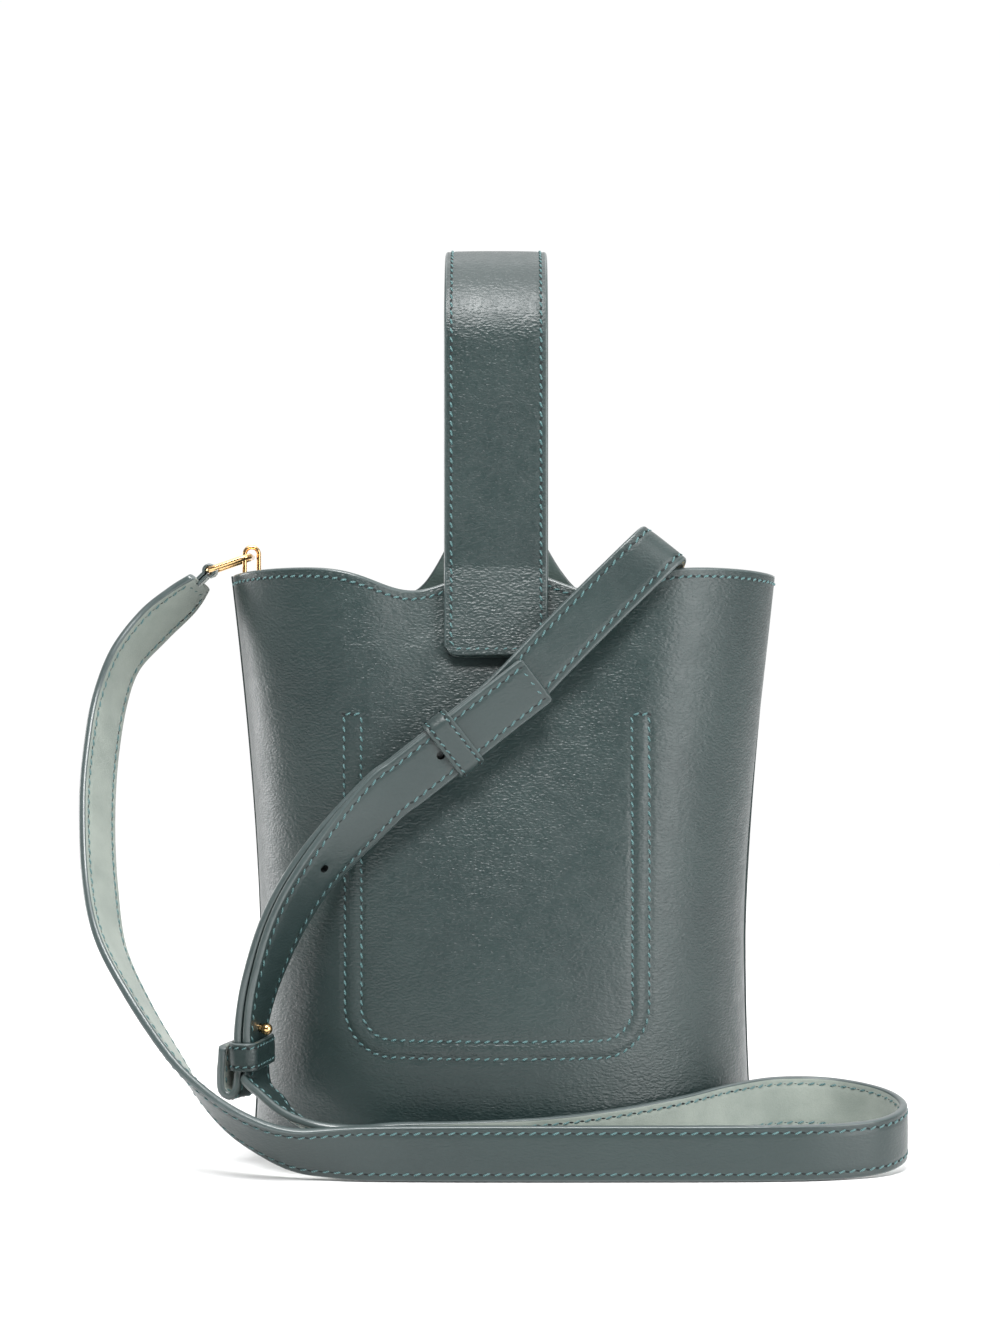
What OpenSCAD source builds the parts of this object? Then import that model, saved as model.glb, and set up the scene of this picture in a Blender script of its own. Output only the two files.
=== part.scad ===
// Leather bucket bag with one top handle and a two-part shoulder strap closed by a stud.
// Millimetres, +Z up. Origin: centre of the base underside. The front panel,
// which carries the sewn handle patch and the pocket stitching, faces -Y.

/* [Body] */
// Height of the rim at its highest, near the side corners
rim_h = 209.6; // [200:0.2:215]
// Half-width of the bag at its waist
waist_half_w = 88.5; // [86:0.5:90]
// How much the mouth flares beyond the waist, each side
mouth_flare = 11; // [9:0.5:12]
// Half-depth of the bag at the base
base_half_d = 64; // [62:0.5:65]
// How much the half-depth shrinks from base to rim
depth_taper = 11; // [10:0.5:12]
// Share of the mouth's depth taken up by the pinch at the handle
pinch = 0.32; // [0.31:0.005:0.33]

/* [Leather] */
// Thickness of the outer leather
leather_t = 1.8; // [1.4:0.1:2.0]
// Thickness of the lining
lining_t = 0.8; // [0.6:0.1:0.9]
// Air left between layers
layer_gap = 0.3; // [0.2:0.1:0.4]

/* [Handle] */
// Width of the handle strap
handle_w = 37; // [30:1:40]
// Thickness of the handle strap, two layers of leather
handle_t = 3.5; // [3:0.1:4]
// Height of the handle's top above the base
handle_top_z = 326; // [315:1:340]
// How far the handle stands to one side of the bag's middle plane
handle_x = -2.5; // [-4:0.1:0]
// Height at which the handle starts to flex above the rim
handle_root_z = 223; // [221:1:226]
// Lowest edge of the sewn handle patch on the front panel
patch_bottom_z = 177.5; // [175:0.5:185]

/* [Shoulder strap] */
// Width of the shoulder strap
strap_w = 19; // [17:0.5:19.5]
// Thickness of the shoulder strap
strap_t = 3; // [2.4:0.1:3.1]
// Radius of a strap hole
hole_r = 1.5; // [1.4:0.1:1.8]
// Radius of the ball on the stud
ball_r = 2.1; // [1.8:0.1:2.4]
// Wall of the leather keepers
keeper_t = 1.5; // [1.2:0.1:1.8]
// Height of the keepers along the strap
keeper_h = 10; // [8:0.5:11]

/* [Rings] */
// Radius of the strap ring's wire
ring_wire_r = 1; // [0.9:0.1:1.3]
// Width of the strap ring between its sides' axes
ring_side_w = 17; // [16.5:0.5:17.5]
// Radius of the small link's wire
link_wire_r = 0.8; // [0.6:0.1:0.8]
// Running clearance between the ring's bar and the strap loop
ring_clearance = 0.1; // [0.05:0.01:0.1]

/* [Hidden] */
$fn = 48;

leather = [0.26, 0.34, 0.33];
leather_light = [0.36, 0.43, 0.41];
cloth = [0.50, 0.47, 0.42];
board = [0.35, 0.30, 0.25];
gold = [0.85, 0.65, 0.35];

// ---- shape of the bag: one horizontal section for each height ----
oval_power = 2.2;
waist_z = 75;
base_flare = 2.5;
pinch_half_w = 45;

function half_w(z) = waist_half_w
    + mouth_flare * pow(max(z - waist_z, 0) / (rim_h - waist_z), 1.5)
    + base_flare * pow(max(waist_z - z, 0) / waist_z, 2);
function half_d(z) = base_half_d - depth_taper * pow(min(z, rim_h) / rim_h, 1.5);
function pinched(x, z) = 1 - pinch * pow(min(z, rim_h) / rim_h, 2.2)
    * exp(-pow(x / pinch_half_w, 4));
function signed_pow(v, p) = sign(v) * pow(abs(v), p);

// Rim height at a place across the bag: a dip each side of the handle and a slight
// fall at the corners; on the back the leather rises into the handle as a flared neck.
dip_depth = 8.4;
dip_x = 33;
dip_w = 18.5;
corner_drop = 2.2;
corner_power = 8;
neck_flare = 24;
neck_power = 3;
function rim_front(x) = rim_h - dip_depth * exp(-pow((abs(x) - dip_x) / dip_w, 2))
    - corner_drop * pow(abs(x) / (waist_half_w + mouth_flare), corner_power);
function neck_rise(x) = (handle_root_z - 2 - rim_front(x))
    * pow(1 - min(max((abs(x - handle_x) - handle_w / 2) / neck_flare, 0), 1), neck_power);
function rim_back(x) = rim_front(x) + neck_rise(x);

// Point of the wall at angle u and height z, moved in by d.
function wall_x(u, z, d) = (half_w(min(z, rim_h)) - d) * signed_pow(cos(u), 2 / oval_power);
function wall_point(u, z, d) = let (x = wall_x(u, z, d))
    [x, (half_d(z) - d) * signed_pow(sin(u), 2 / oval_power) * pinched(x, z), z];

// Height of a layer's upper edge: it follows a rim a given drop below it, or is level.
function top_z(follows, drop, x) = follows == "front" ? rim_front(x) - drop
    : follows == "back" ? rim_back(x) - drop
    : drop;

// Curved plate of the wall between angles u0..u1 and insets d0 (outer), d1 (inner).
// Its lower edge is level at z0, or with band > 0 it runs that far below the upper edge.
module wall_plate(u0, u1, z0, follows, drop, d0, d1, nu, nz, ring = false, band = 0) {
    cols = ring ? nu : nu + 1;
    function angle(i) = u0 + (u1 - u0) * i / nu;
    function height(i, j) = let (
        top = top_z(follows, drop, wall_x(angle(i), rim_h, d0)),
        low = band > 0 ? top - band : z0)
        low + (top - low) * j / nz;
    pts = [for (d = [d0, d1]) for (j = [0:nz]) for (i = [0:cols - 1])
        wall_point(angle(i), height(i, j), d)];
    layer = cols * (nz + 1);
    function at(k, j, i) = k * layer + j * cols + (i % cols);
    skins = [for (j = [0:nz - 1]) for (i = [0:nu - 1]) each [
        [at(0, j, i), at(0, j + 1, i), at(0, j, i + 1)],
        [at(0, j + 1, i), at(0, j + 1, i + 1), at(0, j, i + 1)],
        [at(1, j, i), at(1, j, i + 1), at(1, j + 1, i)],
        [at(1, j + 1, i), at(1, j, i + 1), at(1, j + 1, i + 1)]]];
    rims = [for (i = [0:nu - 1]) each [
        [at(0, 0, i), at(0, 0, i + 1), at(1, 0, i)],
        [at(1, 0, i), at(0, 0, i + 1), at(1, 0, i + 1)],
        [at(0, nz, i), at(1, nz, i), at(0, nz, i + 1)],
        [at(1, nz, i), at(1, nz, i + 1), at(0, nz, i + 1)]]];
    ends = ring ? [] : [for (j = [0:nz - 1]) each [
        [at(0, j, 0), at(1, j, 0), at(0, j + 1, 0)],
        [at(1, j, 0), at(1, j + 1, 0), at(0, j + 1, 0)],
        [at(0, j, nu), at(0, j + 1, nu), at(1, j, nu)],
        [at(1, j, nu), at(0, j + 1, nu), at(1, j + 1, nu)]]];
    polyhedron(pts, concat(skins, rims, ends), convexity = 10);
}

// ---- flat straps: a rectangle swept along a smooth curve through hand-set stations ----
// A station is [x, y, z, wx, wy, wz]: a centre point and the strap's width direction.
function unit(v) = v / norm(v);
function xyz(s) = [s[0], s[1], s[2]];
function wide(s) = [s[3], s[4], s[5]];
function spline(a, b, c, d, t) = 0.5 * ((2 * b) + (c - a) * t
    + (2 * a - 5 * b + 4 * c - d) * t * t + (3 * b - a - 3 * c + d) * t * t * t);
function along(route, s) = let (
    last = len(route) - 1,
    i = min(floor(s), last - 1),
    t = s - i)
    spline(route[max(i - 1, 0)], route[i], route[i + 1], route[min(i + 2, last)], t);
function frame_at(route, s) = let (
    e = 0.02,
    last = len(route) - 1,
    p = along(route, s),
    t = unit(xyz(along(route, min(s + e, last))) - xyz(along(route, max(s - e, 0)))),
    w = unit(wide(p) - (wide(p) * t) * t))
    [xyz(p), t, w, cross(t, w)];

module ribbon(route, w, t, steps) {
    rings = (len(route) - 1) * steps;
    corners = [[-1, -1], [1, -1], [1, 1], [-1, 1]];
    pts = [for (k = [0:rings]) let (f = frame_at(route, k / steps))
        each [for (c = corners) f[0] + f[2] * c[0] * w / 2 + f[3] * c[1] * t / 2]];
    sides = [for (k = [0:rings - 1]) for (c = [0:3]) let (
        a = 4 * k + c,
        b = 4 * k + (c + 1) % 4)
        each [[a, a + 4, b], [b, a + 4, b + 4]]];
    n = 4 * rings;
    ends = [[0, 1, 2], [0, 2, 3], [n + 2, n + 1, n], [n + 3, n + 2, n]];
    polyhedron(pts, concat(sides, ends), convexity = 20);
}

// Stretch where both straps run together up the front: the outer (long) strap's centre,
// from the lower keeper to the long strap's tip. It is straight near the top.
shared_run = [
    [-86.2, -54, 39.5, 0.28, 0.95, -0.05],
    [-86.3, -54.6, 48.4, 0.28, 0.95, -0.05],
    [-82.6, -57, 65, 0.41, 0.9, -0.11],
    [-74.6, -59.3, 85.8, 0.56, 0.78, -0.25],
    [-62.6, -61.5, 104.7, 0.585, 0.66, -0.465],
    [-42, -62, 127.7, 0.59, 0.26, -0.765],
    [-34, -61.5, 134, 0.6, 0.21, -0.77],
    [-18.67, -60.37, 146, 0.6, 0.21, -0.77],
    [-3.33, -59.23, 158, 0.6, 0.21, -0.77],
    [12, -58.1, 170, 0.6, 0.21, -0.77]
];
shared_count = len(shared_run);

// Long strap: left ring, free arc down to the ground, along the front, a loop to the
// right, back behind itself and up through the lower keeper.
long_route = concat([
    [-111, 0, 205.6, 0.2, 0.96, -0.2],
    [-118, 0, 198.5, 0.4, 0.82, -0.4],
    [-128, -1, 189.5, 0.46, 0.76, -0.46],
    [-138, -5, 177, 0.42, 0.85, -0.3],
    [-143, -10, 162, 0.46, 0.88, -0.1],
    [-145, -19, 144, 0.44, 0.9, 0],
    [-145, -30, 124, 0.44, 0.9, 0],
    [-142.5, -43, 100, 0.42, 0.9, -0.05],
    [-137, -58, 79, 0.38, 0.86, -0.25],
    [-126, -70, 60, 0.33, 0.88, -0.33],
    [-112.3, -79, 40.8, 0.23, 0.91, -0.35],
    [-102.8, -83, 29.6, 0.05, 0.92, -0.45],
    [-92, -85.5, 20.4, -0.05, 0.83, -0.58],
    [-80, -87, 13.9, -0.05, 0.72, -0.7],
    [-69, -87.7, 10.5, -0.05, 0.55, -0.83],
    [-57.7, -88, 9.9, 0, 0.35, -0.93],
    [-44, -88, 9.6, 0, 0.12, -1],
    [-10, -88, 9.5, 0, 0, -1],
    [40, -88, 9.5, 0, 0, -1],
    [90, -87, 9.5, 0, 0, -1],
    [115, -83, 9.6, 0, 0, -1],
    [131, -75, 10.6, 0, 0, -1],
    [139, -60, 13, 0, 0, -1],
    [134, -42, 15.8, 0, 0, -1],
    [118, -29, 17.6, 0, 0, -1],
    [98, -29, 18, 0, 0, -1],
    [80, -41, 17, 0, 0, -1],
    [62, -55.5, 14.8, 0, 0, -1],
    [40, -66, 12.2, 0, 0, -1],
    [15, -74, 10.3, 0, 0, -1],
    [-15, -79, 9.6, 0, 0, -1],
    [-35, -79.8, 10, 0, 0.25, -0.95],
    [-48, -79.3, 10.8, 0.05, 0.6, -0.8],
    [-60, -77, 13.8, 0.1, 0.85, -0.5],
    [-67.5, -73.5, 16.8, 0.12, 0.95, -0.28],
    [-74.5, -69, 20.3, 0.15, 0.97, -0.2],
    [-80.3, -63.5, 24.5, 0.2, 0.97, -0.15],
    [-85.1, -56, 28.5, 0.27, 0.96, -0.07],
    [-86.15, -53.7, 33.5, 0.28, 0.95, -0.05]
], shared_run);

// Short strap: right ring, up inside the mouth, over the front rim and down under the
// long strap to its free end. Its width points the other way, so its good side is out.
strap_pitch = strap_t + layer_gap;
function under(s) = let (
    f = frame_at(shared_run, s),
    p = f[0] + f[3] * strap_pitch)
    [p[0], p[1], p[2], -f[2][0], -f[2][1], -f[2][2]];
short_route = concat([
    [70.4, 0, 193.3, 0, 1, 0],
    [66, 0, 193.4, 0, 0.97, 0.24],
    [60.5, -0.6, 194, 0, 0.8, 0.6],
    [55, -3.4, 195.6, 0, 0.38, 0.92],
    [51.6, -9, 198.3, -0.1, 0.05, 1],
    [51.6, -16.5, 202, -0.25, 0, 0.97],
    [53.4, -24.5, 207, -0.48, 0, 0.87],
    [55.6, -32, 212.2, -0.68, 0.05, 0.73],
    [57, -39, 216.4, -0.77, 0.07, 0.63],
    [55, -45.8, 216.4, -0.79, 0, 0.61],
    [50, -49, 211.8, -0.74, 0, 0.67],
    [43, -50, 205, -0.71, -0.03, 0.7],
    [31, -51.2, 193.2, -0.7, -0.08, 0.71],
    [17.5, -52.8, 179.6, -0.69, -0.12, 0.71],
    [6, -54.7, 167.6, -0.65, -0.18, 0.73]
], [for (i = [shared_count - 2:-1:0]) under(i)], [
    [-89.6, -52.7, 33, -0.28, -0.95, 0.05],
    [-90.1, -52.6, 28.5, -0.28, -0.95, 0.05],
    [-90.7, -52.6, 26.1, -0.28, -0.95, 0.05],
    [-92.9, -52.2, 24.6, -0.28, -0.95, 0.05],
    [-95.1, -51.6, 26.1, -0.28, -0.95, 0.05],
    [-95.7, -51.4, 28.5, -0.28, -0.95, 0.05],
    [-95.7, -51.6, 33, -0.28, -0.95, 0.05],
    [-95.3, -51.9, 38, -0.28, -0.95, 0.05],
    [-94.9, -52.2, 43, -0.28, -0.95, 0.05]
]);

// Places along the shared run: the stud, the spare holes and the sliding keeper.
stud_station = 1;
hole_stations = [4, 6.8];
keeper_station = 7.1;

// Puts its children at a place on the shared run: X across the strap, Y down the strap,
// Z from the long strap's good side in towards the bag.
module at_station(s) {
    f = frame_at(shared_run, s);
    multmatrix([
        [f[2][0], -f[1][0], f[3][0], f[0][0]],
        [f[2][1], -f[1][1], f[3][1], f[0][1]],
        [f[2][2], -f[1][2], f[3][2], f[0][2]],
        [0, 0, 0, 1]
    ]) children();
}

// ---- bag ----
module front_panel() {
    color(leather)
        wall_plate(181, 359, 0, "front", 0, 0, leather_t, 60, 12);
}

module back_panel() {
    color(leather)
        wall_plate(1, 179, 0, "back", 0, 0, leather_t, 100, 12);
}

strip_t = 1;
strip_half_angle = 1.6;
module seam_strip(u) {
    color(leather)
        wall_plate(u - strip_half_angle, u + strip_half_angle, 0, "front", 0,
            -layer_gap - strip_t, -layer_gap, 4, 12);
}

base_t = 2;
lining_in = leather_t + layer_gap;
disc_sides = 72;
module base_disc(z, t, d) {
    translate([0, 0, z])
        linear_extrude(t)
            polygon([for (i = [0:disc_sides - 1]) let (p = wall_point(i * 360 / disc_sides, 0, d))
                [p[0], p[1]]]);
}

module base_panel() {
    color(leather) base_disc(0, base_t, lining_in);
}

board_t = 1.5;
board_z = base_t + layer_gap;
board_margin = 2;
module base_board() {
    color(board) base_disc(board_z, board_t, lining_in + board_margin);
}

lining_z = board_z + board_t + layer_gap;
facing_h = 25;
facing_t = 1.2;
module lining() {
    color(cloth)
        wall_plate(0, 360, lining_z, "front", facing_h + 1, lining_in, lining_in + lining_t,
            84, 10, ring = true);
}

module lining_base() {
    color(cloth) base_disc(lining_z, lining_t, lining_in + lining_t + 3 * layer_gap);
}

module rim_facing(u0, u1) {
    color(leather_light)
        wall_plate(u0, u1, 0, "front", 0.5, lining_in, lining_in + facing_t, 48, 3,
            band = facing_h);
}

pocket_t = 1.2;
pocket_half_angle = 34;
pocket_z = 39;
pocket_top = 157;
module inner_pocket() {
    pocket_in = lining_in + lining_t + layer_gap;
    color(cloth)
        wall_plate(270 - pocket_half_angle, 270 + pocket_half_angle, pocket_z, "level",
            pocket_top, pocket_in, pocket_in + pocket_t, 24, 8);
}

// ---- handle: patch sewn to the front, two legs and a half-round top ----
patch_out = -layer_gap - handle_t;
front_leg_y = -(half_d(rim_h) * (1 - pinch) + layer_gap + handle_t / 2);
back_leg_y = half_d(rim_h) * (1 - pinch) - leather_t / 2;
arch_r = (back_leg_y - front_leg_y) / 2;
arch_y = (back_leg_y + front_leg_y) / 2;
arch_z = handle_top_z - arch_r - handle_t / 2;
flex_gap = 1.5;

// Angle of the wall at which it stands x across from the middle plane, on the front.
function front_angle(x) = 270
    + sign(x) * asin(pow(abs(x) / half_w(handle_root_z), oval_power / 2));
module handle_patch() {
    color(leather)
        wall_plate(front_angle(handle_x - handle_w / 2), front_angle(handle_x + handle_w / 2),
            patch_bottom_z, "level",
            handle_root_z - flex_gap, patch_out, -layer_gap, 10, 10);
}

// A leg has round ends, so that it can turn about them without touching its neighbours.
module handle_leg(y) {
    low = handle_root_z + handle_t / 2;
    high = arch_z - flex_gap - handle_t / 2;
    color(leather)
        for (z = [low, high])
            translate([handle_x - handle_w / 2, y, z])
                rotate([0, 90, 0]) cylinder(h = handle_w, d = handle_t);
    color(leather)
        translate([handle_x - handle_w / 2, y - handle_t / 2, low])
            cube([handle_w, handle_t, high - low]);
}

module handle_top() {
    color(leather)
        translate([handle_x + handle_w / 2, arch_y, arch_z])
            rotate([0, -90, 0])
                rotate([0, 0, -90])
                    rotate_extrude(angle = 180, $fn = 96)
                        translate([arch_r - handle_t / 2, 0])
                            square([handle_t, handle_w]);
}

// ---- rings, links and tabs at the mouth's corners ----
// The set is laid out at the left corner; the right one is the same set moved.
link_half_w = 2.6;
link_low_z = 204.3;
link_high_z = 218;
link_x = -92.3;
right_set_shift = [183, 0, -16];
bar_x = -107.6;
bar_z = 209.3;
ring_len = 15.9;
ring_tilt = 19;
ring_corner_r = 3;
tab_outer_x = -93.3;
tab_t = 2;
tab_w = 12;
tab_low_z = 196;
tab_high_z = 208.5;
tab_hole_z = 204.9;
tab_hole_r = 2;
loop_w = 10.6;
loop_t = 1.5;

module place_set(side) {
    translate(side == "left" ? [0, 0, 0] : right_set_shift) children();
}

module anchor_tab() {
    color(leather_light)
        difference() {
            translate([tab_outer_x, -tab_w / 2, tab_low_z])
                cube([tab_t, tab_w, tab_high_z - tab_low_z]);
            translate([tab_outer_x - tab_t, 0, tab_hole_z])
                rotate([0, 90, 0]) cylinder(h = 3 * tab_t, r = tab_hole_r);
        }
}

module link() {
    straight = link_high_z - link_low_z - 2 * link_half_w;
    color(gold)
        translate([link_x, 0, (link_low_z + link_high_z) / 2])
            rotate([90, 0, 0]) {
                for (s = [0, 180])
                    rotate([0, 0, s])
                        translate([0, straight / 2, 0])
                            rotate_extrude(angle = 180)
                                translate([link_half_w, 0]) circle(link_wire_r, $fn = 24);
                for (s = [-1, 1])
                    translate([s * link_half_w, -straight / 2, 0])
                        rotate([-90, 0, 0]) cylinder(h = straight, r = link_wire_r, $fn = 24);
            }
}

module ring() {
    bar = ring_side_w - 2 * ring_corner_r;
    side = ring_len - 2 * ring_corner_r;
    color(gold)
        translate([bar_x, 0, bar_z])
            rotate([0, -ring_tilt, 0]) {
                for (x = [0, ring_len])
                    translate([x, bar / 2, 0])
                        rotate([90, 0, 0]) cylinder(h = bar, r = ring_wire_r);
                for (s = [-1, 1])
                    translate([ring_corner_r, s * ring_side_w / 2, 0])
                        rotate([0, 90, 0]) cylinder(h = side, r = ring_wire_r);
                for (c = [[0, 1, 90], [0, -1, 180], [1, -1, 270], [1, 1, 0]])
                    translate([c[0] == 0 ? ring_corner_r : ring_len - ring_corner_r,
                        c[1] * bar / 2, 0])
                        rotate([0, 0, c[2]])
                            rotate_extrude(angle = 90)
                                translate([ring_corner_r, 0]) circle(ring_wire_r);
            }
}

// Leather loop that wraps the ring's outer bar, with the tail that is sewn into the strap.
tail_inset = 0.6;
tail_t = 2.4;
tail_len = 3.8;
module strap_loop(tail_angle) {
    r = ring_wire_r + ring_clearance;
    color(leather)
        translate([bar_x, 0, bar_z]) {
            rotate([90, 0, 0])
                difference() {
                    cylinder(h = loop_w, r = r + loop_t, center = true);
                    cylinder(h = loop_w + 2, r = r, center = true);
                }
            rotate([0, tail_angle, 0])
                translate([r + loop_t / 2, -loop_w / 2 + tail_inset, -tail_t / 2])
                    cube([tail_len, loop_w - 2 * tail_inset, tail_t]);
        }
}

// ---- shoulder strap ----
one_strap = 3;
both_straps = 8;
module strap_holes(stations, depth) {
    for (s = stations)
        at_station(s)
            translate([0, 0, -depth]) cylinder(h = 2 * depth, r = hole_r);
}

module strap_long() {
    color(leather)
        difference() {
            ribbon(long_route, strap_w, strap_t, 3);
            strap_holes(concat([stud_station], hole_stations), one_strap);
        }
}

module strap_short() {
    color(leather)
        difference() {
            ribbon(short_route, strap_w, strap_t, 3);
            strap_holes([stud_station], both_straps);
        }
}

keeper_clearance = 0.8;
module keeper() {
    inner_w = strap_w + keeper_clearance;
    inner_d = 2 * strap_t + layer_gap + keeper_clearance;
    color(leather)
        translate([0, 0, strap_pitch / 2])
            difference() {
                cube([inner_w + 2 * keeper_t, keeper_h, inner_d + 2 * keeper_t], center = true);
                cube([inner_w, keeper_h + 2, inner_d], center = true);
            }
}

post_clearance = 0.3;
ball_clearance = 0.4;
screw_r = 3;
screw_t = 1;
module stud_ball() {
    post_r = hole_r - post_clearance;
    outer = strap_t / 2 + ball_clearance;
    color(gold)
        at_station(stud_station) {
            translate([0, 0, -outer - ball_r]) sphere(ball_r);
            translate([0, 0, -outer - ball_r])
                cylinder(h = outer + ball_r + strap_pitch + strap_t / 2, r = post_r);
        }
}

module stud_screw() {
    color(gold)
        at_station(stud_station)
            translate([0, 0, strap_pitch + strap_t / 2 + layer_gap])
                cylinder(h = screw_t, r = screw_r);
}

front_panel();
back_panel();
seam_strip(180);  // seam_strip_left
seam_strip(0);  // seam_strip_right
base_panel();
base_board();
lining();
lining_base();
rim_facing(181, 359);  // rim_facing_front
rim_facing(1, 179);  // rim_facing_back
inner_pocket();
handle_patch();
handle_leg(front_leg_y);  // handle_front_leg
handle_top();
handle_leg(back_leg_y);  // handle_back_leg
place_set("left") anchor_tab();  // anchor_tab_left
place_set("right") anchor_tab();  // anchor_tab_right
place_set("left") link();  // link_left
place_set("right") link();  // link_right
place_set("left") ring();  // ring_left
place_set("right") ring();  // ring_right
place_set("left") strap_loop(135);  // strap_loop_left
place_set("right") strap_loop(180);  // strap_loop_right
strap_long();
strap_short();
at_station(keeper_station) keeper();  // keeper_upper
at_station(0) keeper();  // keeper_lower
stud_ball();
stud_screw();
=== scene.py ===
"""Looks of the leather bucket bag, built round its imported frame. Shapes are worked out in
millimetres and scaled to metres when a mesh is made."""

import math

import bpy
import numpy as np
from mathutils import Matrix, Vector


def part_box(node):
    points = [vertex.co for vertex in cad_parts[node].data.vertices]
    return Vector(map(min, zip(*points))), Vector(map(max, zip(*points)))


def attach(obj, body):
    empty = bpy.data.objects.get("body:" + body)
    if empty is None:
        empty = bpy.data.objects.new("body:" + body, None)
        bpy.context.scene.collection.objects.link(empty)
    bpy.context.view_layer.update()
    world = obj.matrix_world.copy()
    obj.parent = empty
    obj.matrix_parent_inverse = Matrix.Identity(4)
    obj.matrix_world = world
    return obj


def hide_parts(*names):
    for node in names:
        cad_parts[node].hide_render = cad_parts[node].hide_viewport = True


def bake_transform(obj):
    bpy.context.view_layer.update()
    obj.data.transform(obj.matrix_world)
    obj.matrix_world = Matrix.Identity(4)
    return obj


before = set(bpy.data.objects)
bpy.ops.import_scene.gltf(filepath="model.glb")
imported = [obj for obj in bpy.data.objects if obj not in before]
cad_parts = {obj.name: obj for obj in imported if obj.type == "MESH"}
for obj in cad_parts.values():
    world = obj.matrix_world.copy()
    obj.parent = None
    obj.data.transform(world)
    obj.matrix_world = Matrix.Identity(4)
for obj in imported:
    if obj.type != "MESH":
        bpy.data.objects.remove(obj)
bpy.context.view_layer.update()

MM = 0.001
rng = np.random.default_rng(7)


def box_mm(node):
    """Lowest and highest corner of a CAD node, in millimetres."""
    return [np.array(corner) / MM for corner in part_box(node)]


def unit(v):
    return v / np.maximum(np.linalg.norm(v, axis=-1, keepdims=True), 1e-9)


def put_in_scene(name, data):
    obj = bpy.data.objects.new(name, data)
    bpy.context.scene.collection.objects.link(obj)
    return obj


def lengths_along(points):
    """Length along a line at each of its points."""
    return np.concatenate([[0], np.cumsum(np.linalg.norm(np.diff(points, axis=0), axis=1))])


def sample(values, lengths, at):
    """Values given at lengths along a line, read off at other lengths."""
    return np.stack([np.interp(at, lengths, column) for column in np.transpose(values)], -1)


# ---- shape of the bag's wall
RIM_H = 209.6
WAIST_HALF_W, WAIST_Z = 88.5, 75.0
MOUTH_FLARE, BASE_FLARE = 11.0, 2.5
BASE_HALF_D, DEPTH_TAPER = 64.0, 11.0
PINCH, PINCH_HALF_W = 0.32, 45.0
OVAL_POWER = 2.2
DIP_DEPTH, DIP_X, DIP_W = 8.4, 33.0, 18.5
CORNER_DROP, CORNER_POWER = 2.2, 8
LEATHER_T, LINING_T, LAYER_GAP, FACING_T = 1.8, 0.8, 0.3, 1.2
LINING_IN = LEATHER_T + LAYER_GAP
FACING_H = 25.0

patch_low = box_mm("handle_patch")[0]
front_leg_low, front_leg_high = box_mm("handle_front_leg")
back_leg_low, back_leg_high = box_mm("handle_back_leg")
arch_high = box_mm("handle_top")[1]
HANDLE_W = front_leg_high[0] - front_leg_low[0]
HANDLE_T = front_leg_high[1] - front_leg_low[1]
FRONT_LEG_Y = (front_leg_low[1] + front_leg_high[1]) / 2
BACK_LEG_Y = (back_leg_low[1] + back_leg_high[1]) / 2
ARCH_R = (BACK_LEG_Y - FRONT_LEG_Y) / 2
ARCH_Y = (BACK_LEG_Y + FRONT_LEG_Y) / 2
ARCH_Z = arch_high[2] - ARCH_R - HANDLE_T / 2
NECK_TOP = box_mm("back_panel")[1][2]
NECK_FLARE, NECK_POWER = 24.0, 3.0
HANDLE_X = (front_leg_low[0] + front_leg_high[0]) / 2


def half_w(z):
    """Half the body's width at a height."""
    z = np.minimum(z, RIM_H)
    up = np.maximum(z - WAIST_Z, 0) / (RIM_H - WAIST_Z)
    down = np.maximum(WAIST_Z - z, 0) / WAIST_Z
    return WAIST_HALF_W + MOUTH_FLARE * up**1.5 + BASE_FLARE * down**2


def half_d(z):
    """Half the body's depth at a height, before the mouth is pinched."""
    return BASE_HALF_D - DEPTH_TAPER * (np.minimum(z, RIM_H) / RIM_H) ** 1.5


def pinched(x, z):
    """Share of the depth left where the mouth is drawn together."""
    return 1 - PINCH * (np.minimum(z, RIM_H) / RIM_H) ** 2.2 * np.exp(-((x / PINCH_HALF_W) ** 4))


def signed_pow(v, p):
    return np.sign(v) * np.abs(v) ** p


def rim_front(x):
    """Height of the front's upper edge: two soft dips, and a little fall at the corners."""
    corner = CORNER_DROP * (np.abs(x) / (WAIST_HALF_W + MOUTH_FLARE)) ** CORNER_POWER
    return RIM_H - DIP_DEPTH * np.exp(-(((np.abs(x) - DIP_X) / DIP_W) ** 2)) - corner


def rim_back(x):
    """Height of the back's upper edge, which rises into the handle's neck."""
    side = np.clip((np.abs(x - HANDLE_X) - HANDLE_W / 2) / NECK_FLARE, 0, 1)
    return rim_front(x) + (NECK_TOP - rim_front(x)) * (1 - side) ** NECK_POWER


def wall(u, z, inset):
    """Point of the wall at angle u (radians) and height z, moved in by inset."""
    x = (half_w(z) - inset) * signed_pow(np.cos(u), 2 / OVAL_POWER)
    y = (half_d(z) - inset) * signed_pow(np.sin(u), 2 / OVAL_POWER) * pinched(x, z)
    return np.stack(np.broadcast_arrays(x, y, z), -1)


def wall_y(x, z, inset=0.0):
    """Distance of the wall from the middle plane at a place across and a height."""
    across = np.clip(np.abs(x) / (half_w(z) - inset), 0, 1)
    return (half_d(z) - inset) * (1 - across**OVAL_POWER) ** (1 / OVAL_POWER) * pinched(x, z)


def wall_normal(u, z, inset):
    """Outward direction of the wall."""
    du, dz = 1e-3, 0.5
    return unit(np.cross(wall(u + du, z, inset) - wall(u - du, z, inset),
                         wall(u, z + dz, inset) - wall(u, z - dz, inset)))


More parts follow.
